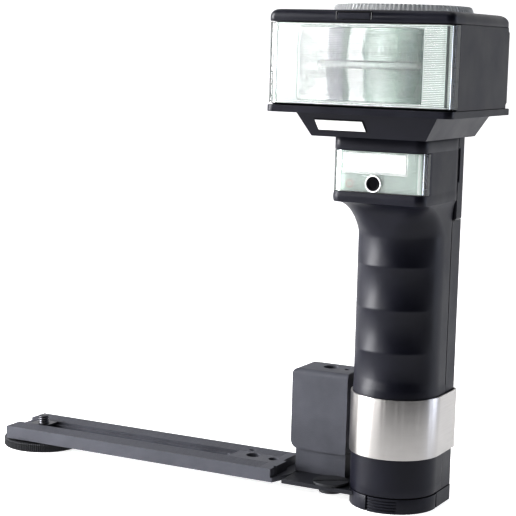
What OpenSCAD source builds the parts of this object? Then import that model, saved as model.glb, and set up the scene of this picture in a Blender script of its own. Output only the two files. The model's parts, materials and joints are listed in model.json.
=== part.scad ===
// Handle-mount electronic flash with a swivelling, tilting head and a bracket
/* [Head] */
// half width of the head casing
head_half_width = 45.9; // [43:0.1:47]
// height of the top of the head cover
head_top = 243.9; // [242:0.1:246]
// distance from the origin to the front of the head window
head_front = 63.1; // [61:0.1:64]
// top radius of the calculator dial
dial_radius = 31.9; // [28:0.1:33]
/* [Handle] */
// radius of the lower handle
handle_radius = 22.2; // [21.5:0.1:22.3]
// radius of the grip crests
grip_radius = 22; // [21:0.1:22.2]
// depth of the finger scoops
scoop_depth = 1.4; // [0:0.1:2]
/* [Bracket] */
// half depth of the bracket bar
bar_half_depth = 18.1; // [16:0.1:20]
// length of the slot that the camera screw slides in
slot_length = 124; // [100:1:125]
// radius of the camera screw thumbwheel
knob_radius = 22; // [18:0.5:24]
/* [Hidden] */
$fn = 64;
eps = 0.01;
wall = 2;
handle_back = 23.2;
corner_r = 2.8;
seam_y = 9.1;
seam_gap = 0.2;
cap_top = 7.6;
shell_bottom = 8;
grip_bottom = 62;
grip_top = 133.5;
scoop_pitch = 21.3;
scoop_shift = 6;
crest_z = 122.5;
profile_steps = 40;
neck_half = 23.8;
neck_front = -35.8;
neck_back = 17.3;
neck_top = 185.1;
neck_low = 138;
neck_lip = 154;
neck_corner = 5;
neck_win_low = 159;
neck_win_high = 178.8;
neck_win_wrap = -28;
sweep_reach = 44;
sweep_steps = 10;
swivel_y = -9.2;
bush_r = 11.9;
bush_bore = 9;
run_gap = 0.05;
skirt_bottom = 185.5;
skirt_top = 196.2;
skirt_half_low = 28.8;
skirt_half_high = 35.3;
skirt_front_low = -48.2;
skirt_front_high = -51.7;
skirt_back_low = 16.8;
skirt_back_high = 19.6;
tilt_y = 18.5;
tilt_z = 196.3;
tilt_r = 3;
tilt_pin_r = 1.5;
tilt_half = 12;
lip_bottom = 196.7;
lip_top = 199.8;
head_side_rear = 11.2;
head_wall = 2;
win_low = 200.7;
win_high = 238;
win_wrap = -54.5;
win_thick = 1.6;
tube_y = -47;
tube_z = 219.3;
dial_x = 3.5;
dial_y = -19.5;
dial_low = 244.2;
dial_high = 247.2;
dial_teeth = 72;
dial_flare = 1.3;
band_low = 27.3;
band_high = 57.5;
band_r = 23.3;
band_thick = 0.9;
cell_r = 7.1;
cell_pitch = 7.7;
cell_low = 6.2;
cell_length = 50;
bar_left = -227.8;
bar_low = 5.05;
bar_high = 11.95;
slot_start = -219;
slot_half = 3.5;
channel_half = 6;
channel_depth = 1.6;
screw_x = -215.3;
stud_r = 3.175;
knob_high = 4.4;
lid_y = 18.2;
lid_z = 1.7;
lid_r = 1.5;
lid_pin_r = 0.7;
lid_half = 8;
seam_left = -105;
seam_right = 5;
rib_left = -104;
rib_right = -64;
rib_height = 0.7;
rib_depth = 0.6;
lock_x = -30.6;
lock_y = -9.5;
post_hole_x = -43.5;
post_hole_y = 14.9;
post_screw_x = [-50, -36];
post_screw_y = 12;
mode_z = 168;
switch_z = 152.5;
test_x = -13;
cover_screw_r = 2.4;
cover_screw_z = [72, 132];
stud_free = 12.1;
stud_top = 16.2;
stud_neck_r = 2.9;

// outline of the handle: round front, straight sides, flat back with rounded corners
module d_outline(r, back, rc) {
  circle(r = r);
  translate([-r, 0]) square([2 * r, back - rc]);
  translate([-r + rc, 0]) square([2 * (r - rc), back]);
  for (s = [-1, 1]) translate([s * (r - rc), back - rc]) circle(r = rc);
}
module d_prism(r, back, rc, low, high) {
  translate([0, 0, low]) linear_extrude(height = high - low) d_outline(r, back, rc);
}
module block(x0, x1, y0, y1, z0, z1) {
  translate([x0, y0, z0]) cube([x1 - x0, y1 - y0, z1 - z0]);
}
// rectangle with rounded front corners
module front_round(half, front, back, r) {
  translate([-half, front + r]) square([2 * half, back - front - r]);
  translate([-half + r, front]) square([2 * (half - r), r + eps]);
  for (s = [-1, 1]) translate([s * (half - r), front + r]) circle(r = r);
}
module front_prism(half, front, back, r, low, high) {
  translate([0, 0, low]) linear_extrude(height = high - low) front_round(half, front, back, r);
}
module rod_x(x0, x1, y, z, r) {
  translate([x0, y, z]) rotate([0, 90, 0]) cylinder(r = r, h = x1 - x0);
}
module rod_y(x, y0, y1, z, r) {
  translate([x, y0, z]) rotate([-90, 0, 0]) cylinder(r = r, h = y1 - y0);
}
module rod_z(x, y, z0, z1, r) {
  translate([x, y, z0]) cylinder(r = r, h = z1 - z0);
}
function grip_at(z) = grip_radius + scoop_shift - scoop_depth * abs(sin((z - crest_z) * 180 / scoop_pitch));
function grip_z(i) = grip_bottom + (grip_top - grip_bottom) * i / profile_steps;
grip_points = [for (i = [0 : profile_steps]) [grip_at(grip_z(i)), grip_z(i)]];

// grip with finger scoops across its front and plain sides
module grip_body() {
  intersection() {
    d_prism(grip_radius, handle_back, corner_r, grip_bottom, grip_top);
    union() {
      translate([0, scoop_shift, 0]) rotate_extrude()
        polygon(concat([[0, grip_bottom]], grip_points, [[0, grip_top]]));
      block(-grip_radius - 1, grip_radius + 1, 0, handle_back + 1, grip_bottom, grip_top);
    }
  }
}
// neck box with a concave sweep from its lower edge down to the grip
module neck_body() {
  sweep = [for (i = [0 : sweep_steps]) [
    sweep_reach - (sweep_reach - grip_radius + 0.3) * sin(90 * i / sweep_steps),
    neck_lip + 1.5 - (neck_lip + 1.5 - neck_low) * (1 - cos(90 * i / sweep_steps))]];
  mirrored = [for (i = [0 : sweep_steps]) [-sweep[i][0], sweep[i][1]]];
  intersection() {
    front_prism(neck_half, neck_front, neck_back, neck_corner, neck_low, neck_top);
    union() {
      block(-neck_half, neck_half, neck_front, neck_back, neck_lip + 1.5 - eps, neck_top);
      rotate_extrude() polygon(concat([[0, neck_low], [0, neck_lip + 1.5]], sweep));
      translate([0, neck_back, 0]) rotate([90, 0, 0])
        linear_extrude(height = neck_back) polygon(concat(sweep, [for (i = [sweep_steps : -1 : 0]) mirrored[i]]));
    }
  }
}
module front_shell() {
  color("DimGray") difference() {
    union() {
      d_prism(handle_radius, handle_back, corner_r, shell_bottom, grip_bottom + eps);
      grip_body();
      d_prism(grip_radius - 0.3, handle_back, corner_r, grip_top - eps, neck_low + 2);
      neck_body();
    }
    d_prism(grip_radius - scoop_depth - wall, handle_back + 9, eps, shell_bottom - 1, neck_low + 9);
    d_prism(handle_radius - wall, handle_back + 9, eps, shell_bottom - 1, grip_bottom - 1);
    front_prism(neck_half - wall, neck_front + wall, neck_back + 9, 3, neck_lip + 2, neck_top - wall);
    block(-neck_half - 1, neck_half + 1, seam_y - seam_gap, handle_back + 1, 0, neck_top + 1);
    block(-neck_half - 1, neck_half + 1, neck_front - 1, neck_win_wrap, neck_win_low, neck_win_high);
    rod_z(0, swivel_y, neck_top - wall - 1, neck_top + 1, bush_r + run_gap);
  }
}
module rear_cover() {
  low = shell_bottom;
  high = 143.7;
  color("DimGray") difference() {
    d_prism(grip_radius, handle_back, corner_r, low, high);
    d_prism(grip_radius - wall, handle_back - wall, corner_r - wall, low - 1, high - wall);
    block(-neck_half - 1, neck_half + 1, -neck_half - 1, seam_y, low - 1, high + 1);
    for (z = cover_screw_z) rod_y(0, handle_back - 1.2, handle_back + 1, z, cover_screw_r);
  }
}
module control_housing() {
  low = 144.3;
  color("DimGray") difference() {
    block(-neck_half + 0.2, neck_half - 0.2, seam_y, neck_back, low, neck_top);
    block(-neck_half + wall, neck_half - wall, seam_y - 1, neck_back - wall, low + wall, neck_top - wall);
    rod_y(0, neck_back - wall - 1, neck_back + 1, mode_z, 2 + run_gap);
    block(-9, 9, neck_back - wall - 1, neck_back + 1, switch_z - 2.4, switch_z + 2.4);
    rod_y(test_x - 3, neck_back - wall - 1, neck_back + 1, switch_z, 2.8);
    rod_y(16, neck_back - wall - 1, neck_back + 1, switch_z, 2);
    for (s = [-1, 1]) rod_y(s * 16, neck_back - wall - 1, neck_back + 1, 179.5, 1.5);
    block(neck_half - wall - 1, neck_half + 1, 9.9, 12, 163, 179.4);
  }
}
module neck_window() {
  gap = 0.1;
  color("LightBlue", 0.4) difference() {
    front_prism(neck_half, neck_front, neck_win_wrap - gap, neck_corner, neck_win_low + gap, neck_win_high - gap);
    front_prism(neck_half - 1.5, neck_front + 1.5, neck_win_wrap + 1, neck_corner - 1.5, neck_win_low - 1, neck_win_high + 1);
    rod_y(-1.75, neck_front - 1, neck_front + 2.5, 163.5, 4.2);
    block(-neck_half - 1, neck_half + 1, neck_win_wrap - gap, neck_back, neck_win_low - 1, neck_win_high + 1);
  }
}
module aux_reflector() {
  color("Silver") difference() {
    block(-17.9, 14.6, neck_front + 1.7, neck_front + 8, 167.8, 177.8);
    translate([-16.9, 0, 0]) rotate([90, 0, 90]) linear_extrude(height = 30.5)
      polygon([[neck_front + 1, 168.3], [neck_front + 1, 177.3], [neck_front + 7, 174.2], [neck_front + 7, 171.4]]);
  }
}
module aux_flash_tube() {
  color("White") rod_x(-16.8, 13.5, neck_front + 5.2, 172.8, 1);
}
module sensor_ring() {
  color("White") difference() {
    rod_y(-1.75, neck_front - 0.4, neck_front + 1.6, 163.5, 4.15);
    rod_y(-1.75, neck_front - 1, neck_front + 1, 163.5, 2.5);
  }
}
module sensor_lens() {
  color("Black") rod_y(-1.75, neck_front + 0.4, neck_front + 0.95, 163.5, 2.45);
}
// ring round the battery bay, open where the lid carries its own wall
module base_ring() {
  color("DimGray") difference() {
    union() {
      difference() {
        d_prism(handle_radius, handle_back, corner_r, 0, cap_top);
        d_prism(handle_radius - wall, handle_back - wall, corner_r - wall, -1, cap_top + 1);
        lid_sector(0.4);
      }
      for (s = [-1, 1]) block(s * 10.3 - 2, s * 10.3 + 2, lid_y, handle_back - wall + eps, 1, lid_z + lid_r);
      for (s = [-1, 1]) rod_x(s * 10.3 - 2, s * 10.3 + 2, lid_y, lid_z, lid_r);
    }
    rod_x(-13, 13, lid_y, lid_z, lid_pin_r);
  }
}
// wedge of the handle's front between the two lid seams
module lid_sector(gap) {
  reach = 60;
  shift = gap * 1.5;
  translate([-shift / 2, shift / 2, -2]) linear_extrude(height = 12)
    polygon([[0, 0], [reach * cos(seam_left), reach * sin(seam_left)],
      [0, -reach], [reach, -reach], [reach * cos(seam_right), reach * sin(seam_right)]]);
}
module lid_pin() {
  color("Silver") rod_x(-12.3, 12.3, lid_y, lid_z, lid_pin_r);
}
// groove round the left of the lid's front, cut several times to leave finger ribs
module lid_rib(z) {
  reach = 60;
  intersection() {
    translate([0, 0, z]) difference() {
      cylinder(r = handle_radius + 1, h = rib_height);
      translate([0, 0, -1]) cylinder(r = handle_radius - rib_depth, h = 3);
    }
    linear_extrude(height = cap_top + 1) polygon([[0, 0],
      [reach * cos(rib_left), reach * sin(rib_left)], [reach * cos(rib_right), reach * sin(rib_right)]]);
  }
}
module battery_lid() {
  plate_r = handle_radius - wall - 0.4;
  color("DimGray") difference() {
    union() {
      difference() {
        d_prism(plate_r, lid_y - lid_r - 0.8, 0.5, 0.2, 2.5);
        block(-plate_r - 1, plate_r + 1, lid_y - lid_r - 0.8, lid_y + 9, -1, 3);
      }
      intersection() {
        difference() {
          cylinder(r = handle_radius, h = cap_top - 0.2);
          translate([0, 0, 2]) cylinder(r = handle_radius - wall, h = cap_top);
        }
        translate([0.5, -0.5, 0]) lid_sector(0);
      }
      block(-lid_half, lid_half, lid_y - 5, lid_y, lid_z - lid_r, 2.5);
      rod_x(-lid_half, lid_half, lid_y, lid_z, lid_r);
    }
    rod_x(-lid_half - 1, lid_half + 1, lid_y, lid_z, lid_pin_r + run_gap);
    for (i = [0 : 3]) lid_rib(1.3 + i * 1.5);
  }
}
module battery_basket() {
  color("Black") difference() {
    union() {
      block(-17.5, 17.5, -0.3, 2.3, cell_low, cell_low + 52);
      block(-1, 1, -14, 17.2, cell_low, cell_low + 52);
      translate([0, 1, cell_low + 52]) cylinder(r = 17.5, h = 1.6);
    }
    for (sx = [-1, 1]) for (sy = [-1, 1])
      rod_z(sx * cell_pitch, 1 + sy * cell_pitch, cell_low - 1, cell_low + 51, cell_r + 0.15);
  }
}
module battery_cells() {
  color("Gold") for (sx = [-1, 1]) for (sy = [-1, 1]) {
    rod_z(sx * cell_pitch, 1 + sy * cell_pitch, cell_low + 0.6, cell_low + cell_length - 1, cell_r);
    rod_z(sx * cell_pitch, 1 + sy * cell_pitch, cell_low + cell_length - 1.1, cell_low + cell_length, 2.7);
  }
}
module battery_contacts() {
  color("Silver") for (sx = [-1, 1]) for (sy = [-1, 1])
    rod_z(sx * cell_pitch, 1 + sy * cell_pitch, cell_low + cell_length + 0.1, cell_low + cell_length + 0.9, 3.5);
}
module main_capacitor() {
  color("SteelBlue") rod_z(0, -4, 66, 120, 13.5);
}
module circuit_board() {
  color("Green") block(-17, 17, 12.2, 13.8, 64, 141);
}
module transformer() {
  color("Orange") {
    block(-9, 9, -12, 6, 124, 129);
    block(-9, 9, -12, 6, 136, 141);
    rod_z(0, -3, 128.9, 136.1, 7);
  }
}
module swivel_bush() {
  color("Black") difference() {
    union() {
      rod_z(0, swivel_y, neck_top - wall - 2.2, neck_top - wall, bush_r + 3);
      rod_z(0, swivel_y, neck_top - wall - eps, 189.6, bush_r);
    }
    rod_z(0, swivel_y, neck_top - 9, 190, bush_bore);
  }
}
module swivel_ring() {
  color("Silver") difference() {
    rod_z(0, swivel_y, 187.8, 189.3, bush_r + 2.6);
    rod_z(0, swivel_y, 187, 190, bush_r);
  }
}
// square taper made from two crossed prisms
module taper(x_low, x_high, f_low, f_high, b_low, b_high, z_low, z_high) {
  intersection() {
    translate([0, b_high + 1, 0]) rotate([90, 0, 0]) linear_extrude(height = b_high - f_high + 2)
      polygon([[-x_low, z_low], [x_low, z_low], [x_high, z_high], [-x_high, z_high]]);
    translate([-x_high - 1, 0, 0]) rotate([90, 0, 90]) linear_extrude(height = 2 * x_high + 2)
      polygon([[f_low, z_low], [b_low, z_low], [b_high, z_high], [f_high, z_high]]);
  }
}
module skirt() {
  color("DimGray") difference() {
    union() {
      difference() {
        taper(skirt_half_low, skirt_half_high, skirt_front_low, skirt_front_high, skirt_back_low, skirt_back_high,
          skirt_bottom, skirt_top);
        taper(27.4, 33, -46.8, -49.4, 14.9, 16.6, skirt_bottom + wall, skirt_top + 0.1);
        block(-tilt_half - 0.4, tilt_half + 0.4, 14.6, 20, 192.6, skirt_top + 1);
      }
      for (s = [-1, 1]) rod_x(s * (tilt_half + 4) - 3.5, s * (tilt_half + 4) + 3.5, tilt_y, tilt_z, tilt_r);
    }
    rod_z(0, swivel_y, skirt_bottom - 1, skirt_bottom + 3, bush_r + run_gap);
    rod_x(-20, 20, tilt_y, tilt_z, tilt_pin_r);
  }
}
module badge_plate() {
  slope = atan((skirt_front_low - skirt_front_high) / (skirt_top - skirt_bottom));
  color("White") translate([0, skirt_front_low, skirt_bottom]) rotate([90 + slope, 0, 0])
    linear_extrude(height = 0.5) polygon([[-25, 3], [0, 3], [-1.4, 8.6], [-26.4, 8.6]]);
}
module tilt_pin() {
  color("Silver") rod_x(-19.4, 19.4, tilt_y, tilt_z, tilt_pin_r);
}
module head_tray() {
  color("DimGray") difference() {
    union() {
      front_prism(head_half_width + 0.4, -head_front - 0.2, 14.8, 4, lip_bottom, lip_top);
      block(-tilt_half, tilt_half, 14, tilt_y, lip_bottom, lip_top - 0.5);
      rod_x(-tilt_half, tilt_half, tilt_y, tilt_z, tilt_r);
    }
    rod_x(-tilt_half - 1, tilt_half + 1, tilt_y, tilt_z, tilt_pin_r + run_gap);
    front_prism(head_half_width - 3, -head_front + 3, 11, 3, lip_bottom + 1.8, lip_top + 1);
  }
}
module head_casing() {
  color("DimGray") difference() {
    block(-head_half_width, head_half_width, -60.5, head_side_rear, lip_top, 238.4);
    block(-head_half_width + head_wall, head_half_width - head_wall, -62, head_side_rear - head_wall, lip_top - 1, 240);
    block(-head_half_width - 1, head_half_width + 1, -62, win_wrap, win_low, win_high + 1);
    block(-head_half_width - 1, head_half_width + 1, -62, win_wrap - 2, lip_top - 1, win_low + 1);
  }
}
module head_top_cover() {
  half = head_half_width;
  front = -head_front;
  front_r = 2;
  rear_r = 5;
  side = concat([[front, 238.4]],
    [for (a = [180 : -15 : 90]) [front + front_r + front_r * cos(a), head_top - front_r + front_r * sin(a)]],
    [for (a = [90 : -15 : 0]) [head_side_rear - rear_r + rear_r * cos(a), head_top - rear_r + rear_r * sin(a)]],
    [[head_side_rear, 238.4]]);
  color("DimGray") difference() {
    intersection() {
      front_prism(half, front - 1, head_side_rear + 1, 5, 238, head_top + 1);
      translate([-half - 1, 0, 0]) rotate([90, 0, 90]) linear_extrude(height = 2 * half + 2) polygon(side);
    }
    front_prism(half - 2, front + 2, head_side_rear - 2, 3, 238.3, head_top - 2.4);
    block(-10.5, 6, front - 1, front + 1.4, 240, 243);
    rod_z(dial_x, dial_y, head_top - 3, head_top + 1, 1.6);
  }
}
module head_rear_cover() {
  color("DimGray") difference() {
    block(-head_half_width + 1, head_half_width - 1, head_side_rear, 15.2, 201.4, 237);
    block(-head_half_width + 3, head_half_width - 3, head_side_rear - 1, 13.6, 203.4, 235);
  }
}
module head_window() {
  color("LightBlue", 0.4) difference() {
    front_prism(head_half_width, -head_front, win_wrap - 0.1, 4.5, win_low, win_high);
    front_prism(head_half_width - win_thick, -head_front + win_thick, win_wrap + 1, 2.9, win_low - 1, win_high + 1);
    block(-head_half_width - 1, head_half_width + 1, win_wrap - 0.1, 0, win_low - 1, win_high + 1);
  }
}
module main_reflector() {
  front = -59.5;
  color("Silver") difference() {
    block(-36, 36, front, tube_y + 5, 203, 236);
    translate([-35, 0, 0]) rotate([90, 0, 90]) linear_extrude(height = 70)
      polygon([[front - 1, 203.8], [-52, 206], [-47, 210.5], [tube_y + 4, 216.5],
        [tube_y + 4, 222.5], [-47, 228.5], [-52, 233], [front - 1, 235.2]]);
    rod_x(-37, 37, tube_y, tube_z, 2.6);
  }
}
module flash_tube() {
  color("White", 0.6) rod_x(-38, 38, tube_y, tube_z, 2);
}
module tube_caps() {
  color("Black") for (s = [-1, 1]) difference() {
    rod_x(s * 39.5 - 2.5, s * 39.5 + 2.5, tube_y, tube_z, 3.4);
    rod_x(s * 36 - 2.1, s * 36 + 2.1, tube_y, tube_z, 2);
  }
}
module filter_latch() {
  color("Black") block(-10.2, 5.7, -head_front + 0.2, -head_front + 1.3, 240.3, 242.7);
}
module dial_screw() {
  color("Silver") {
    rod_z(dial_x, dial_y, head_top - 2.4, dial_high - 0.8, 1.6);
    rod_z(dial_x, dial_y, dial_high - 0.9, dial_high - 0.2, 3.2);
  }
}
module calculator_dial() {
  step = 360 / dial_teeth;
  rib = 0.45;
  base_r = dial_radius + dial_flare;
  outline = [for (i = [0 : dial_teeth - 1], k = [0 : 3])
    let (a = (i + k / 4) * step, r = base_r - (k < 2 ? 0 : rib)) [r * cos(a), r * sin(a)]];
  color("White", 0.6) translate([dial_x, dial_y, 0]) difference() {
    intersection() {
      translate([0, 0, dial_low]) linear_extrude(height = dial_high - dial_low) polygon(outline);
      translate([0, 0, dial_low]) cylinder(r1 = base_r + 0.2, r2 = dial_radius, h = dial_high - dial_low);
    }
    translate([0, 0, dial_low - 1]) cylinder(r = 1.6 + run_gap, h = 9);
    translate([0, 0, dial_high - 1.2]) cylinder(r = 3.7, h = 2);
  }
}
module mode_dial() {
  color("DimGray") difference() {
    union() {
      rod_y(0, neck_back + 0.4, neck_back + 3.6, mode_z, 8.5);
      rod_y(0, neck_back - 3, neck_back + 1, mode_z, 2);
    }
    block(-0.6, 0.6, neck_back + 3, neck_back + 4, mode_z + 2, mode_z + 9);
  }
}
module main_switch() {
  color("Black") block(-8, -1, neck_back - 3, neck_back + 1.6, switch_z - 2, switch_z + 2);
}
module test_button() {
  color("White") rod_y(test_x - 3, neck_back - 3.5, neck_back + 1.8, switch_z, 2.4);
}
module ready_lamps() {
  color("Red") for (s = [-1, 1]) rod_y(s * 16, neck_back - 1.9, neck_back + 0.5, 179.5, 1.45);
}
module sync_socket() {
  color("Silver") difference() {
    rod_y(16, neck_back - 2, neck_back + 0.8, switch_z, 1.95);
    rod_y(16, neck_back - 1.2, neck_back + 1, switch_z, 1.3);
  }
}
module steel_band() {
  color("Silver") difference() {
    d_prism(band_r, handle_back + 0.8, corner_r, band_low, band_high);
    d_prism(band_r - band_thick, handle_back + 0.1, corner_r - 0.9, band_low - 1, band_high + 1);
  }
}
function corner(cx, cy, r, a0) = [for (a = [a0 : 15 : a0 + 90]) [cx + r * cos(a), cy + r * sin(a)]];
// upper part of the post, rounded at its left corners and along its top front edge
module post_body() {
  face = concat(corner(-54.7, 24, 4.5, 180), corner(-28.8, 20.5, 1, 270), corner(-28.8, 60.8, 1, 0),
    corner(-56.7, 59.3, 2.5, 90));
  side = concat([[23.2, 19], [23.2, 61.8]], corner(3.8, 59, 2.8, 90), [[1, 19]]);
  intersection() {
    translate([0, 24, 0]) rotate([90, 0, 0]) linear_extrude(height = 24) polygon(face);
    translate([-60, 0, 0]) rotate([90, 0, 90]) linear_extrude(height = 40) polygon(side);
  }
}
module bracket_post() {
  color("Gray") difference() {
    union() {
      block(-56.5, -28.1, 2, 22, 7.3, 19.5 + eps);
      post_body();
      block(-27.9, -band_r - 0.05, 6, 19, 29, 56);
    }
    rod_z(post_hole_x, post_hole_y, 40, 63, 4.1);
    rod_z(-33.9, 13.7, 52, 63, 1.4);
  }
}
module post_screws() {
  color("Silver") for (x = post_screw_x) rod_z(x, post_screw_y, 4.2, 5.9, 3.2);
}
module bar_outline() {
  polygon([[bar_left, -bar_half_depth], [-60, -bar_half_depth], [-55.7, -5.4], [-56.5, bar_half_depth],
    [bar_left, bar_half_depth]]);
}
module bracket_bar() {
  slot_end = slot_start + slot_length;
  color("Gray") difference() {
    translate([0, 0, bar_low]) linear_extrude(height = bar_high - bar_low) bar_outline();
    block(slot_start + slot_half, slot_end - slot_half, -slot_half, slot_half, 0, 20);
    for (x = [slot_start + slot_half, slot_end - slot_half]) rod_z(x, 0, 0, 20, slot_half);
    block(bar_left - 1, -92, -channel_half, channel_half, bar_high - channel_depth, 20);
    rod_z(-81.4, 2, 0, 20, 3.8);
    rod_z(-68.8, 0.7, 0, 20, 2.7);
    rod_z(-87, 10.8, 8, 20, 1.5);
    block(-63, -50, 0.9, 24, 7.25, 20);
    block(-61, -50, -20, 24, 7.25, 20);
    // anti-slip grooves on both sides of the channel
    for (s = [-1, 1]) for (i = [0 : 4])
      block(bar_left - 1, -68, s * (7.6 + i * 2.1) - 0.35, s * (7.6 + i * 2.1) + 0.35, bar_high - 0.6, 20);
    for (x = [-55, -61]) rod_z(x, -12, 0, 20, 1.2);
  }
}
module bracket_foot() {
  color("Gray") difference() {
    block(-55.3, -14, -16.5, 20, bar_low, 7.2);
    d_prism(handle_radius + 0.4, handle_back + 3, corner_r, 0, 20);
    rod_z(lock_x, lock_y, 0, 20, 4.05);
    for (x = post_screw_x) rod_z(x, post_screw_y, 0, 5.95, 3.3);
  }
}
module screw_carriage() {
  color("Silver") difference() {
    block(screw_x - 5.7, screw_x + 5.7, -5.7, 5.7, bar_high - 1.3, bar_high - 0.1);
    rod_z(screw_x, 0, 5, 20, stud_neck_r + run_gap);
  }
}
module camera_screw_knob() {
  color("Gray") difference() {
    rod_z(screw_x, 0, 0, knob_high, knob_radius);
    rod_z(screw_x, 0, -1, 1, knob_radius - 3);
    rod_z(screw_x, 0, 0, 9, stud_neck_r);
  }
}
module camera_screw_stud() {
  color("Silver") {
    rod_z(screw_x, 0, 1.1, stud_free + eps, stud_neck_r);
    rod_z(screw_x, 0, stud_free, stud_top, stud_r);
    translate([screw_x, 0, stud_top - eps]) cylinder(r1 = stud_r, r2 = stud_r - 0.5, h = 0.5);
  }
}
module coin_slot() {
  slot_width = 1.2;
  translate([lock_x, lock_y, 8.1]) rotate([0, 0, 35]) translate([-10, -slot_width / 2, 0]) cube([20, slot_width, 2]);
}
module lock_screw() {
  color("Silver") difference() {
    union() {
      rod_z(lock_x, lock_y, 7.6, 8.8, 9.1);
      rod_z(lock_x, lock_y, 3.2, 7.7, 4);
      rod_z(lock_x, lock_y, 3.2, 4.6, 6);
    }
    coin_slot();
  }
}
module cover_screws() {
  color("Silver") for (z = cover_screw_z) difference() {
    rod_y(0, handle_back - 1.2, handle_back + 0.3, z, cover_screw_r);
    block(-2, 2, handle_back - 0.2, handle_back + 1, z - 0.3, z + 0.3);
  }
}

front_shell();
rear_cover();
control_housing();
neck_window();
aux_reflector();
aux_flash_tube();
sensor_ring();
sensor_lens();
base_ring();
lid_pin();
battery_lid();
battery_basket();
battery_cells();
battery_contacts();
main_capacitor();
circuit_board();
transformer();
swivel_bush();
swivel_ring();
skirt();
badge_plate();
tilt_pin();
head_tray();
head_casing();
head_top_cover();
head_rear_cover();
head_window();
main_reflector();
flash_tube();
tube_caps();
filter_latch();
dial_screw();
calculator_dial();
mode_dial();
main_switch();
test_button();
ready_lamps();
sync_socket();
steel_band();
bracket_post();
post_screws();
bracket_bar();
bracket_foot();
screw_carriage();
camera_screw_knob();
camera_screw_stud();
lock_screw();
cover_screws();
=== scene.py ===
import math

import bmesh
import bpy
from mathutils import Matrix, Vector
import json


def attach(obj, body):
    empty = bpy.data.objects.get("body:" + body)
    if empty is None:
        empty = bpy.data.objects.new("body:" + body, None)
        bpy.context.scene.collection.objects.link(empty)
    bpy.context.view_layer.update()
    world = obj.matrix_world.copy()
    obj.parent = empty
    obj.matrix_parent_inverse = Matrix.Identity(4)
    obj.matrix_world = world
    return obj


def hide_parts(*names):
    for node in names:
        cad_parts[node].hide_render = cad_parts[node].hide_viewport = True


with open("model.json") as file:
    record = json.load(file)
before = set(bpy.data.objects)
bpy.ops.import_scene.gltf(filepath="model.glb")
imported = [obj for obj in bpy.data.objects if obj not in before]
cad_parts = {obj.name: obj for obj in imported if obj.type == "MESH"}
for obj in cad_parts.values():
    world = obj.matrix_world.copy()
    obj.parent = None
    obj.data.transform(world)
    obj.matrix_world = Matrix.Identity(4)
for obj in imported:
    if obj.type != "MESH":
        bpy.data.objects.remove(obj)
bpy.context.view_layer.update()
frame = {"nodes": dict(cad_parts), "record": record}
MM = 0.001
nodes = frame["nodes"]


# ---------------------------------------------------------------- materials
class Mat:
    """A small wrapper that builds a Principled material from procedural nodes."""

    def __init__(self, name, base, rough=0.5, metal=0.0, ior=1.5, coat=0.0, spec=0.5):
        self.m = bpy.data.materials.new(name)
        self.m.use_nodes = True
        self.t = self.m.node_tree
        self.p = self.t.nodes["Principled BSDF"]
        self.out = self.t.nodes["Material Output"]
        self.p.inputs["Base Color"].default_value = (*base, 1)
        self.p.inputs["Roughness"].default_value = rough
        self.p.inputs["Metallic"].default_value = metal
        self.p.inputs["IOR"].default_value = ior
        self.p.inputs["Coat Weight"].default_value = coat
        self.p.inputs["Specular IOR Level"].default_value = spec
        self.coord = self.t.nodes.new("ShaderNodeTexCoord")

    def node(self, kind, **props):
        n = self.t.nodes.new(kind)
        for key, value in props.items():
            setattr(n, key, value)
        return n

    def link(self, a, b):
        self.t.links.new(a, b)

    def noise(self, scale, stretch=(1, 1, 1), detail=4.0, rough=0.55):
        mapping = self.node("ShaderNodeMapping")
        mapping.inputs["Scale"].default_value = stretch
        self.link(self.coord.outputs["Object"], mapping.inputs["Vector"])
        n = self.node("ShaderNodeTexNoise")
        n.inputs["Scale"].default_value = scale
        n.inputs["Detail"].default_value = detail
        n.inputs["Roughness"].default_value = rough
        self.link(mapping.outputs["Vector"], n.inputs["Vector"])
        return n.outputs["Fac"]

    def remap(self, value, lo, hi, in_lo=0.3, in_hi=0.7):
        r = self.node("ShaderNodeMapRange")
        r.inputs["From Min"].default_value = in_lo
        r.inputs["From Max"].default_value = in_hi
        r.inputs["To Min"].default_value = lo
        r.inputs["To Max"].default_value = hi
        self.link(value, r.inputs["Value"])
        return r.outputs["Result"]

    def rough(self, value, lo, hi):
        self.link(self.remap(value, lo, hi), self.p.inputs["Roughness"])

    def tint(self, value, dark, light):
        ramp = self.node("ShaderNodeValToRGB")
        ramp.color_ramp.elements[0].position = 0.3
        ramp.color_ramp.elements[1].position = 0.7
        ramp.color_ramp.elements[0].color = (*dark, 1)
        ramp.color_ramp.elements[1].color = (*light, 1)
        self.link(value, ramp.inputs["Fac"])
        self.link(ramp.outputs["Color"], self.p.inputs["Base Color"])

    def bump(self, value, strength, distance):
        b = self.node("ShaderNodeBump")
        b.inputs["Strength"].default_value = strength
        b.inputs["Distance"].default_value = distance
        self.link(value, b.inputs["Height"])
        self.link(b.outputs["Normal"], self.p.inputs["Normal"])
        return b


def plastic(name, base, rough, grain=2600, strength=0.18, spread=0.06, coat=0.0):
    m = Mat(name, base, rough, coat=coat, spec=0.32)
    fine = m.noise(grain, detail=3)
    broad = m.noise(45, detail=5)
    m.rough(broad, rough - spread, rough + spread)
    dark = tuple(c * 0.82 for c in base)
    light = tuple(c * 1.2 for c in base)
    m.tint(broad, dark, light)
    m.bump(fine, strength, 0.00012)
    return m.m


def paint(name, base):
    m = Mat(name, base, 0.5, spec=0.3)
    cells = m.node("ShaderNodeTexVoronoi")
    cells.inputs["Scale"].default_value = 1500
    m.link(m.coord.outputs["Object"], cells.inputs["Vector"])
    broad = m.noise(60, detail=6)
    m.rough(broad, 0.42, 0.6)
    m.tint(broad, tuple(c * 0.85 for c in base), tuple(c * 1.15 for c in base))
    m.bump(cells.outputs["Distance"], 0.3, 0.00016)
    return m.m


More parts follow.
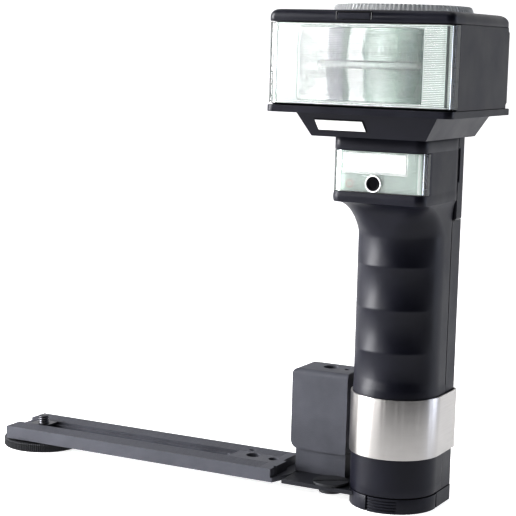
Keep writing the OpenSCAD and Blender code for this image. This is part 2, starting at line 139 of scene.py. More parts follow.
def metal(name, base, rough, stretch=(1, 1, 1), scale=900, strength=0.12, spread=0.08):
    m = Mat(name, base, rough, metal=1.0)
    lines = m.noise(scale, stretch=stretch, detail=6, rough=0.7)
    broad = m.noise(35, detail=4)
    m.rough(lines, rough - spread, rough + spread)
    m.tint(broad, tuple(c * 0.93 for c in base), base)
    m.bump(lines, strength, 0.00005)
    return m.m


def clear(name, tint, see=0.62, gloss_rough=0.08, rib=1100.0, white=0.35):
    """Ribbed clear plastic: see-through, with a bright sheen and fine moulded lines."""
    m = Mat(name, tint, gloss_rough)
    rib_map = m.node("ShaderNodeSeparateXYZ")
    m.link(m.coord.outputs["Object"], rib_map.inputs["Vector"])
    wave = m.node("ShaderNodeMath", operation="MULTIPLY")
    wave.inputs[1].default_value = 2 * math.pi * rib
    m.link(rib_map.outputs["Z"], wave.inputs[0])
    sine = m.node("ShaderNodeMath", operation="SINE")
    m.link(wave.outputs["Value"], sine.inputs[0])
    b = m.node("ShaderNodeBump")
    b.inputs["Strength"].default_value = 0.22
    b.inputs["Distance"].default_value = 0.00012
    m.link(sine.outputs["Value"], b.inputs["Height"])
    through = m.node("ShaderNodeBsdfTransparent")
    through.inputs["Color"].default_value = (0.975, 0.985, 0.98, 1)
    haze = m.node("ShaderNodeBsdfTranslucent")
    haze.inputs["Color"].default_value = (*tint, 1)
    m.link(b.outputs["Normal"], haze.inputs["Normal"])
    body = m.node("ShaderNodeBsdfDiffuse")
    body.inputs["Color"].default_value = (*tint, 1)
    m.link(b.outputs["Normal"], body.inputs["Normal"])
    milky = m.node("ShaderNodeMixShader")
    milky.inputs["Fac"].default_value = 0.5
    m.link(haze.outputs["BSDF"], milky.inputs[1])
    m.link(body.outputs["BSDF"], milky.inputs[2])
    lines = m.remap(sine.outputs["Value"], 1 - see - 0.12, 1 - see + 0.12, -1, 1)
    first = m.node("ShaderNodeMixShader")
    m.link(lines, first.inputs["Fac"])
    m.link(through.outputs["BSDF"], first.inputs[1])
    m.link(milky.outputs["Shader"], first.inputs[2])
    gloss = m.node("ShaderNodeBsdfGlossy")
    gloss.inputs["Roughness"].default_value = gloss_rough
    m.link(b.outputs["Normal"], gloss.inputs["Normal"])
    fresnel = m.node("ShaderNodeFresnel")
    fresnel.inputs["IOR"].default_value = 1.49
    last = m.node("ShaderNodeMixShader")
    m.link(fresnel.outputs["Fac"], last.inputs["Fac"])
    m.link(first.outputs["Shader"], last.inputs[1])
    m.link(gloss.outputs["BSDF"], last.inputs[2])
    m.link(last.outputs["Shader"], m.out.inputs["Surface"])
    return m.m


BODY = plastic("body_black", (0.0092, 0.0095, 0.0175), 0.40, strength=0.22)
HEAD = plastic("head_black", (0.0072, 0.0076, 0.0150), 0.38, strength=0.16)
TRIM = plastic("trim_black", (0.005, 0.005, 0.007), 0.25, strength=0.05)
WHITE = plastic("plain_white", (0.80, 0.80, 0.80), 0.35, strength=0.04)
PAINT = paint("bracket_grey", (0.078, 0.080, 0.094))
FOOT_PAINT = paint("foot_black", (0.022, 0.023, 0.029))
PAINT_EDGE = paint("knob_grey", (0.035, 0.036, 0.040))
STEEL = metal("band_steel", (0.45, 0.437, 0.428), 0.36, stretch=(0.02, 0.02, 1.0), scale=2200, strength=0.45)
# the band is brushed round its circumference
band_tree = STEEL.node_tree
band_tangent = band_tree.nodes.new("ShaderNodeTangent")
band_tangent.direction_type = "RADIAL"
band_tangent.axis = "Z"
band_shade = band_tree.nodes["Principled BSDF"]
band_tree.links.new(band_tangent.outputs["Tangent"], band_shade.inputs["Tangent"])
band_shade.inputs["Anisotropic"].default_value = 0.8
band_shade.inputs["Anisotropic Rotation"].default_value = 0.25
PLATED = metal("plated", (0.70, 0.69, 0.67), 0.24)
DARK_STEEL = metal("dark_steel", (0.12, 0.12, 0.13), 0.35)
BRASS = metal("brass_contacts", (0.78, 0.58, 0.28), 0.3)
CELL = metal("cell_jacket", (0.42, 0.36, 0.16), 0.35)


def reflector_painted_reflection(name, stops, metallic=0.6, rough=0.22, glow=0.42):
    """Reflector with painted reflections: bands across its length painted into the colour and emitted as a painted
    glow, with fine drawn lines.
    """
    m = Mat(name, (0.9, 0.92, 0.92), rough, metal=metallic)
    parts = m.node("ShaderNodeSeparateXYZ")
    m.link(m.coord.outputs["Object"], parts.inputs["Vector"])
    # painted reflection bands, laid along x and sheared with depth so they run straight
    lean = m.node("ShaderNodeMath", operation="MULTIPLY_ADD")
    lean.inputs[1].default_value = 0.52
    m.link(parts.outputs["Y"], lean.inputs[0])
    m.link(parts.outputs["X"], lean.inputs[2])
    place = m.remap(lean.outputs["Value"], 0.0, 1.0, -0.060, -0.001)
    wobble = m.noise(120, stretch=(1, 1, 0.35), detail=3)
    shift = m.node("ShaderNodeMath", operation="MULTIPLY_ADD")
    shift.inputs[1].default_value = 0.06
    m.link(wobble, shift.inputs[0])
    m.link(place, shift.inputs[2])
    ramp = m.node("ShaderNodeValToRGB")
    while len(ramp.color_ramp.elements) < len(stops):
        ramp.color_ramp.elements.new(0.5)
    for e, (pos, col) in zip(ramp.color_ramp.elements, stops):
        e.position = pos
        e.color = (*col, 1)
    m.link(shift.outputs["Value"], ramp.inputs["Fac"])
    streak = m.noise(420, stretch=(0.02, 0.3, 1), detail=5, rough=0.75)
    gain = m.remap(streak, 0.52, 1.25)
    mul = m.node("ShaderNodeVectorMath", operation="SCALE")
    m.link(ramp.outputs["Color"], mul.inputs[0])
    m.link(gain, mul.inputs["Scale"])
    m.link(mul.outputs["Vector"], m.p.inputs["Base Color"])
    # painted glow: the banded colour is also emitted, so the reflector shines with no lamp on it
    m.link(mul.outputs["Vector"], m.p.inputs["Emission Color"])
    m.p.inputs["Emission Strength"].default_value = glow
    m.bump(streak, 0.15, 0.0002)
    return m.m


# painted reflections on the main reflector: white stripes, a purple-grey column and green-grey ends stand in for the
# mirrored studio, and they also glow
MAIN_PAINTED_REFLECTIONS = [(0.0, (1.0, 1.0, 1.0)), (0.24, (1.0, 1.0, 1.0)), (0.27, (0.42, 0.41, 0.45)),
              (0.37, (0.34, 0.33, 0.38)), (0.39, (0.13, 0.18, 0.16)), (0.43, (0.24, 0.30, 0.27)),
              (0.45, (1.0, 1.0, 1.0)), (0.56, (1.0, 1.0, 1.0)), (0.575, (0.34, 0.42, 0.39)),
              (0.70, (0.80, 0.88, 0.84)), (0.86, (0.30, 0.38, 0.34)), (1.0, (0.10, 0.16, 0.14))]
MAIN_MIRROR = reflector_painted_reflection("reflector_main", MAIN_PAINTED_REFLECTIONS, glow=0.50)
# painted reflection on the aux reflector: plain white, also emitted as a painted glow
AUX_PAINTED_REFLECTION = [(0.0, (1, 1, 1)), (0.5, (0.98, 1.0, 0.99)), (1.0, (1, 1, 1))]
AUX_MIRROR = reflector_painted_reflection("reflector_aux", AUX_PAINTED_REFLECTION, 0.2, 0.3, 0.46)
LINER = plastic("liner_pale", (0.60, 0.70, 0.65), 0.5, strength=0.08)
STRIP_GREY = plastic("strip_grey", (0.22, 0.24, 0.24), 0.35, strength=0.05)
LINER_WHITE = plastic("liner_white", (0.86, 0.91, 0.89), 0.4, strength=0.05)
# painted light: both liner materials emit a pale glow (also on the strips and aux flash tube that use them) so they
# read bright behind the windows, though no lamp is there
for liner, painted_glow in ((LINER, 0.20), (LINER_WHITE, 0.40)):
    shade = liner.node_tree.nodes["Principled BSDF"]
    shade.inputs["Emission Color"].default_value = (0.93, 0.965, 0.945, 1)
    shade.inputs["Emission Strength"].default_value = painted_glow
MIRROR = metal("reflector", (0.92, 0.93, 0.93), 0.16, scale=300, strength=0.05, spread=0.05)
LENS = clear("window_clear", (0.93, 0.96, 0.95), see=0.88, rib=1250.0)
NECK_LENS = clear("neck_clear", (0.95, 0.97, 0.97), see=0.90, rib=1500.0)
DIAL = clear("dial_clear", (0.95, 0.96, 0.97), see=0.22, rib=10.0)
TUBE = clear("tube_clear", (0.99, 0.99, 0.99), see=0.85, rib=10.0)
RING_RED = plastic("ring_red", (0.62, 0.28, 0.26), 0.3, strength=0.03)
RED = plastic("lamp_red", (0.55, 0.03, 0.02), 0.25, strength=0.03)
BOARD = plastic("board_green", (0.03, 0.16, 0.06), 0.45, grain=900)
SLEEVE = plastic("sleeve_blue", (0.02, 0.04, 0.20), 0.3)
WOUND = metal("winding", (0.45, 0.22, 0.08), 0.45, stretch=(0.05, 0.05, 1), scale=2500, strength=0.5)
SENSOR = plastic("sensor_dark", (0.004, 0.004, 0.006), 0.1, strength=0.02, coat=0.6)

BY_SLOT = {
    "body_plastic": BODY, "trim_plastic": TRIM, "clear_lens": LENS, "reflector_metal": MIRROR,
    "tube_glass": TUBE, "white_plastic": WHITE, "red_lamp": RED, "sensor_glass": SENSOR,
    "steel": STEEL, "plated": PLATED, "bracket_paint": PAINT, "brass_part": BRASS,
    "cell_jacket": CELL, "board": BOARD, "capacitor_sleeve": SLEEVE, "ferrite": WOUND,
}
BY_NODE = {
    "head_casing": HEAD, "head_top_cover": HEAD, "head_tray": HEAD, "head_rear_cover": HEAD,
    "skirt": HEAD, "neck_window": NECK_LENS, "camera_screw_knob": PAINT_EDGE,
    "lock_screw": PAINT_EDGE, "bracket_foot": FOOT_PAINT,
    "camera_screw_stud": DARK_STEEL, "screw_carriage": DARK_STEEL,
    "post_screws": DARK_STEEL, "aux_reflector": AUX_MIRROR, "aux_flash_tube": LINER_WHITE,
}
BEVEL = {
    "head_casing": 0.5, "head_top_cover": 0.6, "head_tray": 1.4, "head_rear_cover": 1.0,
    "rear_cover": 0.6, "control_housing": 0.9, "steel_band": 0.2, "bracket_post": 0.7,
    "bracket_bar": 0.12, "bracket_foot": 0.3, "base_ring": 0.25, "battery_lid": 0.25,
    "mode_dial": 0.4, "main_switch": 0.4, "test_button": 0.4, "lock_screw": 0.2,
    "screw_carriage": 0.2, "head_window": 0.3, "neck_window": 0.3, "tube_caps": 0.2,
    "main_reflector": 0.2, "filter_latch": 0.2, "ready_lamps": 0.3, "dial_screw": 0.15,
}


def soften(o, width, angle=35):
    """Rounds the sharp edges of a mesh with modifiers only."""
    weld = o.modifiers.new("weld", "WELD")
    weld.merge_threshold = 0.00001
    bev = o.modifiers.new("bevel", "BEVEL")
    bev.width = width * MM
    bev.segments = 3
    bev.limit_method = "ANGLE"
    bev.angle_limit = math.radians(angle)
    bev.harden_normals = True
    return bev


for entry in frame["record"]["subparts"]:
    name = entry["node"]
    o = nodes[name]
    o.data.materials.clear()
    o.data.materials.append(BY_NODE.get(name) or BY_SLOT[entry["material_slot"]])
    if name in BEVEL:
        soften(o, BEVEL[name])


# ---------------------------------------------------------------- mesh tools
def piece(name, verts, faces, mat, body, replaces=(), smooth=True, bevel=0.0, angle=35):
    me = bpy.data.meshes.new(name)
    me.from_pydata([tuple(c * MM for c in v) for v in verts], [], faces)
    me.validate()
    bm = bmesh.new()
    bm.from_mesh(me)
    bmesh.ops.remove_doubles(bm, verts=bm.verts, dist=0.000001)
    bmesh.ops.recalc_face_normals(bm, faces=bm.faces)
    bm.to_mesh(me)
    bm.free()
    me.materials.append(mat)
    o = bpy.data.objects.new(name, me)
    bpy.context.scene.collection.objects.link(o)
    if smooth:
        me.shade_smooth()
        me.set_sharp_from_angle(angle=math.radians(angle))
    if bevel:
        soften(o, bevel, angle)
    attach(o, body)
    if replaces:
        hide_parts(*replaces)
    return o


def loft(loops):
    """Joins closed loops of equal length and caps both ends."""
    n = len(loops[0])
    verts = [v for loop in loops for v in loop]
    faces = []
    for k in range(len(loops) - 1):
        for i in range(n):
            j = (i + 1) % n
            faces.append((k * n + i, k * n + j, (k + 1) * n + j, (k + 1) * n + i))
    faces.append(tuple(range(n - 1, -1, -1)))
    last = (len(loops) - 1) * n
    faces.append(tuple(last + i for i in range(n)))
    return verts, faces


def arc(cx, cy, r, a0, a1, n):
    return [(cx + r * math.cos(math.radians(a0 + (a1 - a0) * i / n)),
             cy + r * math.sin(math.radians(a0 + (a1 - a0) * i / n))) for i in range(n + 1)]


def handle_loop(half, front, back, corner, rear_corner=0.6, n_corner=22, n_side=12):
    """Plan of the handle: rounded at the front, straight sides, flat at the back."""
    corner = min(corner, half - 0.25)
    cy = front + corner
    pts = arc(-half + corner, cy, corner, 180, 270, n_corner)
    pts += arc(half - corner, cy, corner, 270, 360, n_corner)
    y1 = back - rear_corner
    pts += [(half, cy + (y1 - cy) * i / n_side) for i in range(1, n_side)]
    pts += arc(half - rear_corner, y1, rear_corner, 0, 90, 3)
    pts += arc(-half + rear_corner, y1, rear_corner, 90, 180, 3)
    pts += [(-half, y1 + (cy - y1) * i / n_side) for i in range(1, n_side)]
    return pts


def smooth_step(t):
    t = max(0.0, min(1.0, t))
    return t * t * (3 - 2 * t)


# ---------------------------------------------------------------- handle front shell
SEAM = 8.9
LOW = 8.0
GRIP_R = 22.0
CREST = 122.5
PITCH = 21.3


def scoop(z):
    """Depth of the finger scoops at a height, 0 at a crest."""
    if z < CREST - 3 * PITCH or z > CREST + PITCH:
        return 0.0
    wave = abs(math.sin(math.pi * (z - CREST) / PITCH))
    fade = smooth_step((z - 59.0) / 7) * smooth_step((143.8 - z) / 8)
    return 1.7 * wave ** 0.8 * fade


def shell_loop(z, inset=0.0):
    t = max(0.0, min(1.0, (z - 137.0) / 17.0))
    g = 1 - math.sqrt(max(0.0, 1 - t * t))
    half = GRIP_R + (23.8 - GRIP_R) * g
    if z < 62:
        half += 0.2 * smooth_step((62 - z) / 1.5)
    front = -half if z < 137 else -22 - 13.8 * g
    corner = half if z < 137 else half - (half - 5.0) * g ** 0.55
    if z > 154:
        lip = 0.5 * math.sin(math.pi * min(1.0, (z - 154) / 4.6)) if z < 158.6 else 0.0
        front -= lip
        half += lip * 0.3
    pts = handle_loop(half - inset, front + inset, SEAM, corner - inset)
    depth = scoop(z) if inset < 2 else 0.0
    out = []
    for x, y in pts:
        across = abs(math.degrees(math.atan2(x, -(y - 1.0))))
        d = depth * (1 - smooth_step((across - 30) / 36.0))
        length = math.hypot(x, y) or 1
        out.append((x * (1 - d / length), y * (1 - d / length), z))
    return out


levels = [8, 8.3] + [8.3 + (61 - 8.3) * i / 12 for i in range(1, 13)]
levels += [61 + (137 - 61) * i / 120 for i in range(1, 121)]
levels += [137 + 17 * math.sin(math.pi / 2 * i / 26) for i in range(1, 27)]
levels += [154.4 + 4.5 * i / 10 for i in range(0, 11)]
inner = [shell_loop(z, 2.2) for z in (130, 100, 60, 8.0)]
inner = [[(x, y, z) for x, y, _ in loop] for loop, z in zip(inner, (130, 100, 60, 8.0))]
outer = [shell_loop(z, 0.25 if z == 8 else 0.0) for z in levels]
verts, faces = loft(inner + outer)
piece("grip_shell", verts, faces, BODY, "handle", replaces=("front_shell",), angle=50)

# neck above the window and the walls behind it
neck_top = [[(x, y, z) for x, y in handle_loop(23.8 - i, -35.8 + i, SEAM, 5.0, n_corner=12)]
            for z, i in ((178.9, 0.15), (179.1, 0.0), (184.6, 0.0), (185.0, 0.25), (185.1, 0.7))]
verts, faces = loft(neck_top)
piece("neck_top_shell", verts, faces, BODY, "handle", angle=50)
neck_mid = [[(x, y, z) for x, y in handle_loop(23.75, -27.9, SEAM, 0.3, n_corner=2)]
            for z in (158.6, 179.2)]
verts, faces = loft(neck_mid)
piece("neck_side_shell", verts, faces, BODY, "handle", bevel=0.15)


# ---------------------------------------------------------------- optics of the head
def grid(fn, nu, nv):
    verts = [fn(i / nu, j / nv) for j in range(nv + 1) for i in range(nu + 1)]
    w = nu + 1
    faces = [(j * w + i, j * w + i + 1, (j + 1) * w + i + 1, (j + 1) * w + i)
             for j in range(nv) for i in range(nu)]
    return verts, faces


def thicken(o, amount):
    sol = o.modifiers.new("wall", "SOLIDIFY")
    sol.thickness = amount * MM
    sol.offset = 1.0
    return o


def trough(half_x, z_low, z_high, front, depth, steps):
    zc, hz = (z_low + z_high) / 2, (z_high - z_low) / 2

    def fn(u, v):
        a, b = 2 * u - 1, 2 * v - 1
        fold = 0.35 * math.sin(a * math.pi * steps) * (1 - abs(b))
        d = depth * (1 - abs(b) ** 2.1) * (1 - abs(a) ** 9) + fold * (1 - abs(a) ** 9)
        return (a * half_x, front + max(0.0, d), zc + b * hz)
    return fn


verts, faces = grid(trough(30.5, 202.6, 236.0, -59.6, 15.5, 3), 96, 64)
thicken(piece("main_trough", verts, faces, MAIN_MIRROR, "head",
              replaces=("main_reflector",), angle=60), 0.5)


def plate_with_hole(x0, x1, z0, z1, hx0, hx1, hz0, hz1, y, t):
    """Flat plate facing the front, with a rectangular hole through it."""
    verts = []
    for yy in (y, y + t):
        verts += [(x0, yy, z0), (x1, yy, z0), (x1, yy, z1), (x0, yy, z1),
                  (hx0, yy, hz0), (hx1, yy, hz0), (hx1, yy, hz1), (hx0, yy, hz1)]
    faces = []
    for k in range(4):
        n = (k + 1) % 4
        faces.append((k, n, 4 + n, 4 + k))
        faces.append((8 + n, 8 + k, 12 + k, 12 + n))
        faces.append((n, k, 8 + k, 8 + n))
        faces.append((4 + k, 4 + n, 12 + n, 12 + k))
    return verts, faces


verts, faces = plate_with_hole(-43.4, 43.4, 200.9, 237.9, -30.5, 30.5, 202.6, 236.0, -59.7, 0.8)
piece("head_liner", verts, faces, LINER_WHITE, "head", smooth=False, bevel=0.15)
verts, faces = plate_with_hole(-21.9, 21.9, 159.3, 178.5, -17.9, 14.6, 167.8, 177.8, -33.6, 0.9)
piece("neck_liner", verts, faces, LINER, "handle", smooth=False, bevel=0.15)


def tube_path(path, r, n=8, closed=True):
    """A thin round bead along a path in a plane facing the front."""
    verts, faces = [], []
    m = len(path)
    for k, (x, y, z) in enumerate(path):
        px, _, pz = path[k - 1]
        nx, _, nz = path[(k + 1) % m]
        tx, tz = nx - px, nz - pz
        length = math.hypot(tx, tz) or 1
        sx, sz = tz / length, -tx / length
        for i in range(n):
            a = 2 * math.pi * i / n
            verts.append((x + sx * r * math.cos(a), y + r * math.sin(a), z + sz * r * math.cos(a)))
    for k in range(m if closed else m - 1):
        j = (k + 1) % m
        for i in range(n):
            q = (i + 1) % n
            faces.append((k * n + i, k * n + q, j * n + q, j * n + i))
    return verts, faces


def rounded_path(x0, x1, z0, z1, r, y, n=8):
    out = []
    corners = ((x1 - r, z0 + r, -90), (x1 - r, z1 - r, 0), (x0 + r, z1 - r, 90), (x0 + r, z0 + r, 180))
    for cx, cz, a0 in corners:
        for i in range(n + 1):
            a = math.radians(a0 + 90 * i / n)
            out.append((cx + r * math.cos(a), y, cz + r * math.sin(a)))
    return out


verts, faces = tube_path(rounded_path(-30, 29.4, 202.8, 236.2, 1.6, -63.12), 0.22)
piece("window_bead", verts, faces, LENS, "head")
verts, faces = tube_path(rounded_path(-18.1, 14.8, 167.6, 178.0, 0.6, -35.75), 0.16)
piece("neck_window_bead", verts, faces, NECK_LENS, "handle")
CELL_X, CELL_Y, CELL_Z, CELL_R = -14, -35.75, 163, 1.7
circle = [(CELL_X + CELL_R * math.cos(math.radians(a)), CELL_Y, CELL_Z + CELL_R * math.sin(math.radians(a)))
          for a in range(0, 360, 12)]
verts, faces = tube_path(circle, 0.10)
piece("photo_cell_ring", verts, faces, RING_RED, "handle")


# upright strips moulded at the corners of both windows
def strip(name, x, y, w, t, z0, z1, mat, body):
    ends = [[(x - w, y - t, z), (x + w, y - t, z), (x + w, y + t, z), (x - w, y + t, z)] for z in (z0, z1)]
    verts, faces = loft(ends)
    return piece(name, verts, faces, mat, body, smooth=False, bevel=0.15)


WINDOW_STRIPS = ((40.3, -60.6, 0.8, LINER_WHITE), (42.2, -60.0, 0.6, STRIP_GREY),
                 (43.6, -58.4, 0.5, LINER_WHITE))
for k, (x, y, w, mat) in enumerate(WINDOW_STRIPS):
    for side, tag in ((1, "right"), (-1, "left")):
        strip("window_strip_%s_%d" % (tag, k), side * x, y, w, 0.25, 201.4, 237.4, mat, "head")
strip("neck_strip_right", 20.6, -33.9, 0.7, 0.2, 159.6, 178.2, LINER_WHITE, "handle")
strip("neck_strip_left", -20.6, -33.9, 0.9, 0.2, 159.6, 178.2, LINER_WHITE, "handle")


def washer(name, cx, cz, r0, r1, y0, y1, mat, replaces=()):
    """Ring about an axis that points to the front, with softened edges."""
    n = 64
    prof = ((r0, y1), (r0, y0 + 0.12), (r0 + 0.12, y0), (r1 - 0.15, y0), (r1, y0 + 0.15), (r1, y1))
    loops = [[(cx + r * math.cos(2 * math.pi * i / n), y, cz + r * math.sin(2 * math.pi * i / n)) for i in range(n)]
             for r, y in prof + (prof[0],)]
    verts, faces = loft(loops)
    return piece(name, verts, faces[:-2], mat, "handle", replaces=replaces, angle=30)


SENSOR_X, SENSOR_Z, SENSOR_BACK = -1.75, 163.5, -34.6
washer("sensor_bezel", SENSOR_X, SENSOR_Z, 3.45, 4.15, -36.2, SENSOR_BACK, WHITE,
       replaces=("sensor_ring",))
washer("sensor_barrel", SENSOR_X, SENSOR_Z, 2.5, 3.44, -36.0, SENSOR_BACK, TRIM)

# plain badge with a black border on the skirt
slope = math.atan(3.5 / 10.7)


def on_skirt(u, v, w):
    """A point on the skirt's sloping front face: u across, v up the slope, w proud of it."""
    y, z = v, w
    return (u, -48.2 - y * math.sin(slope) - z * math.cos(slope), 185.5 + y * math.cos(slope) - z * math.sin(slope))


def badge(name, inset, w0, w1, mat, replaces=()):
    base = [(-25 + inset, 2.9 + inset), (0.2 - inset * 1.2, 2.9 + inset),
            (-1.4 - inset, 8.7 - inset), (-26.6 + inset * 1.2, 8.7 - inset)]
    verts = [on_skirt(u, v, w0) for u, v in base] + [on_skirt(u, v, w1) for u, v in base]
    faces = [(3, 2, 1, 0), (4, 5, 6, 7)] + [(k, (k + 1) % 4, 4 + (k + 1) % 4, 4 + k) for k in range(4)]
    return piece(name, verts, faces, mat, "skirt_body", replaces=replaces,
                 smooth=False, bevel=0.12)


badge("badge_border", 0.0, 0.02, 0.35, TRIM, replaces=("badge_plate",))
badge("badge_face", 0.45, 0.3, 0.48, WHITE)

# ---------------------------------------------------------------- head top cover and latch
def box_loop(x0, x1, y0, y1, z, rf, rr, n=8):
    pts = arc(x0 + rf, y0 + rf, rf, 180, 270, n) + arc(x1 - rf, y0 + rf, rf, 270, 360, n)
    pts += arc(x1 - rr, y1 - rr, rr, 0, 90, n) + arc(x0 + rr, y1 - rr, rr, 90, 180, n)
    return [(x, y, z) for x, y in pts]


COVER_HALF, COVER_FRONT, COVER_BACK = 45.9, -63.1, 11.2
loops = [box_loop(-45.7, 45.7, -62.9, 11.0, 238.4, 3.6, 1.2),
         box_loop(-COVER_HALF, COVER_HALF, COVER_FRONT, COVER_BACK, 238.6, 3.8, 1.4)]
for k in range(0, 10):
    a = math.radians(90 * k / 9)
    c, sn = 1 - math.cos(a), math.sin(a)
    half = COVER_HALF - 3.4 * c
    loops.append(box_loop(-half, half, COVER_FRONT + 2.6 * c, COVER_BACK - 5.4 * c,
                          240.4 + 3.5 * sn, 3.8, 1.6 + 2 * c))
verts, faces = loft(loops)
piece("top_shell", verts, faces, HEAD, "head", replaces=("head_top_cover",), angle=50)
LATCH = ((-10.3, 240.1), (5.8, 240.1), (5.8, 242.6), (-10.3, 242.6))
verts, faces = loft([[(x, y, z) for x, z in LATCH] for y in (-61.5, -63.22)])
piece("latch_plate", verts, faces, BODY, "head", replaces=("filter_latch",),
      smooth=False, bevel=0.35)
verts, faces = tube_path(rounded_path(-10.9, 6.4, 239.5, 243.1, 0.5, -62.9), 0.32)
piece("latch_groove", verts, faces, TRIM, "head")

# ---------------------------------------------------------------- calculator dial
def ring_loop(cx, cy, r, z, n, rib=0.0, per=4):
    out = []
    for i in range(n):
        a = 2 * math.pi * i / n
        rr = r - (rib if (i % per) >= per // 2 else 0.0)
        out.append((cx + rr * math.cos(a), cy + rr * math.sin(a), z))
    return out


DX, DY = 3.5, -19.5
N = 96 * 4
loops = [ring_loop(DX, DY, r, z, N, rib) for r, z, rib in (
    (1.7, 244.25, 0), (30.0, 244.25, 0), (33.0, 244.25, 0.0), (33.2, 244.45, 1.1), (32.3, 246.7, 1.1),
    (31.7, 247.1, 0.2), (31.2, 247.2, 0.0), (29.6, 247.2, 0.0), (29.3, 246.9, 0.0), (24.0, 246.9, 0.0),
    (23.8, 246.7, 0.0), (3.9, 246.7, 0.0), (1.7, 246.6, 0))]
verts, faces = loft(loops + [ring_loop(DX, DY, 1.7, 244.25, N)])
faces = faces[:-2]
piece("dial_ring", verts, faces, DIAL, "dial", replaces=("calculator_dial",), angle=25)

# printed marks on the dial: plain ticks round two circles
verts, faces = [], []
TICK_RINGS = ((72, 27.6, 29.0, 0.14), (24, 20.5, 23.2, 0.2), (12, 12.0, 16.0, 0.25))
for ring, (count, r0, r1, w) in enumerate(TICK_RINGS):
    for i in range(count):
        a = 2 * math.pi * (i + 0.3 * ring) / count
        c, sn = math.cos(a), math.sin(a)
        longer = 1.2 if i % 6 == 0 else 0.0
        z = 246.96 if ring == 0 else 246.76
        base = len(verts)
        for zz in (z, z + 0.05):
            for r, t in ((r0 - longer, -w), (r1, -w), (r1, w), (r0 - longer, w)):
                verts.append((DX + r * c - t * sn, DY + r * sn + t * c, zz))
        faces += [(base + 3, base + 2, base + 1, base), (base + 4, base + 5, base + 6, base + 7)]
        faces += [(base + k, base + (k + 1) % 4, base + 4 + (k + 1) % 4, base + 4 + k) for k in range(4)]
piece("dial_marks", verts, faces, TRIM, "dial", smooth=False)

# ---------------------------------------------------------------- thumbwheel
KX = -215.3
N = 120 * 4
prof = ((3.2, 4.35, 0), (6.0, 4.35, 0), (6.4, 3.9, 0), (19.2, 3.9, 0), (19.8, 4.4, 0), (21.6, 4.4, 0.0), (22.0, 4.0, 0.4),
        (22.0, 0.5, 0.4), (21.6, 0.0, 0.0), (20.0, 0.0, 0), (19.4, 0.9, 0), (3.2, 0.9, 0))
loops = [ring_loop(KX, 0, r, z, N, rib) for r, z, rib in prof] + [ring_loop(KX, 0, 3.2, 4.35, N)]
verts, faces = loft(loops)
faces = faces[:-2]
piece("thumbwheel", verts, faces, PAINT_EDGE, "camera_screw_body",
      replaces=("camera_screw_knob",), angle=25)

# ---------------------------------------------------------------- threaded camera stud
loops = []
steps = 28
for k in range(int((16.3 - 4.6) * 8)):
    z = 4.6 + k / 8
    loop = []
    for i in range(steps):
        a = 2 * math.pi * i / steps
        phase = (z / 1.27 - i / steps) % 1.0
        r = 3.15 - 0.55 * abs(2 * phase - 1)
        if z > 15.6:
            r = min(r, 3.15 - (z - 15.6) * 0.8)
        loop.append((KX + r * math.cos(a), r * math.sin(a), z))
    loops.append(loop)
verts, faces = loft([[(x, y, 1.2) for x, y, _ in loops[0]]] + loops)
piece("threaded_stud", verts, faces, DARK_STEEL, "camera_screw_body",
      replaces=("camera_screw_stud",), angle=60)

# ---------------------------------------------------------------- stage, lights, camera
floor_mesh = bpy.data.meshes.new("floor")
S = 6.0
pts = []
for i, (y, z) in enumerate([(-S, 0), (2.0, 0)] + [(2.0 + 1.2 * math.sin(a), 1.2 - 1.2 * math.cos(a))
                                                for a in [math.pi / 2 * k / 12 for k in range(1, 13)]] + [(3.2, 6)]):
    pts += [(-S, y, z - 0.00002), (S, y, z - 0.00002)]
floor_mesh.from_pydata(pts, [], [(2 * i, 2 * i + 1, 2 * i + 3, 2 * i + 2) for i in range(len(pts) // 2 - 1)])
floor_mesh.shade_smooth()
fm = Mat("floor_white", (0.55, 0.55, 0.55), 0.7)
fm.rough(fm.noise(8), 0.65, 0.75)
fm.p.inputs["Emission Color"].default_value = (1, 1, 1, 1)
glow = fm.node("ShaderNodeSeparateXYZ")
fm.link(fm.coord.outputs["Object"], glow.inputs["Vector"])
fm.link(fm.remap(glow.outputs["Y"], 0.12, 0.86, -0.62, -0.25), fm.p.inputs["Emission Strength"])
floor_mesh.materials.append(fm.m)
floor = bpy.data.objects.new("floor", floor_mesh)
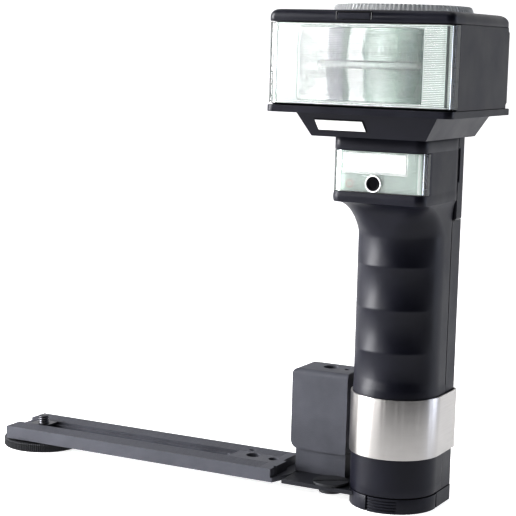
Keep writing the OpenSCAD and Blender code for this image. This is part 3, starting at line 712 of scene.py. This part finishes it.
floor.rotation_euler = (0, 0, math.radians(27.56))
bpy.context.scene.collection.objects.link(floor)


def area(name, loc, target, size, power, color=(1, 1, 1), size_y=None):
    light = bpy.data.lights.new(name, "AREA")
    light.energy = power
    light.color = color
    light.shape = "RECTANGLE"
    light.size = size
    light.size_y = size_y or size
    o = bpy.data.objects.new(name, light)
    o.location = loc
    o.rotation_euler = (Vector(target) - Vector(loc)).to_track_quat("-Z", "Y").to_euler()
    bpy.context.scene.collection.objects.link(o)
    return o


area("key_left", (-1.0, -0.52, 0.38), (0, 0, 0.14), 0.7, 42, size_y=1.0)
area("top", (-0.1, -0.1, 1.4), (0, 0, 0.1), 0.9, 8)
area("right_rim", (0.95, 0.62, 0.35), (0, 0, 0.14), 0.5, 6, color=(0.80, 0.86, 1.0), size_y=0.9)
area("window_fill", (-0.75, -1.5, 0.7), (0, 0, 0.2), 0.3, 5.0)

world = bpy.data.worlds.new("studio")
world.use_nodes = True
world.node_tree.nodes["Background"].inputs["Color"].default_value = (0.84, 0.89, 1.0, 1)
world.node_tree.nodes["Background"].inputs["Strength"].default_value = 0.07
scene = bpy.context.scene
scene.world = world
scene.view_settings.view_transform = "Standard"
scene.view_settings.gamma = 0.74

az, el, roll = math.radians(27.56), math.radians(7.66), math.radians(1.48)
right = Vector((math.cos(az), math.sin(az), 0))
back = Vector((math.sin(az) * math.cos(el), -math.cos(az) * math.cos(el), math.sin(el)))
up = back.cross(right)
R = right * math.cos(roll) + up * math.sin(roll)
U = -right * math.sin(roll) + up * math.cos(roll)
C = Vector((0.0, 0.0, 0.1339)) + back * 0.768 - R * 0.0718 - U * 0.0093
cam_data = bpy.data.cameras.new("camera")
cam_data.lens = 108.35
cam_data.sensor_width = 36
cam_data.clip_start = 0.01
cam = bpy.data.objects.new("camera", cam_data)
cam.matrix_world = Matrix(((R.x, U.x, back.x, C.x), (R.y, U.y, back.y, C.y),
                           (R.z, U.z, back.z, C.z), (0, 0, 0, 1)))
scene.collection.objects.link(cam)
scene.camera = cam
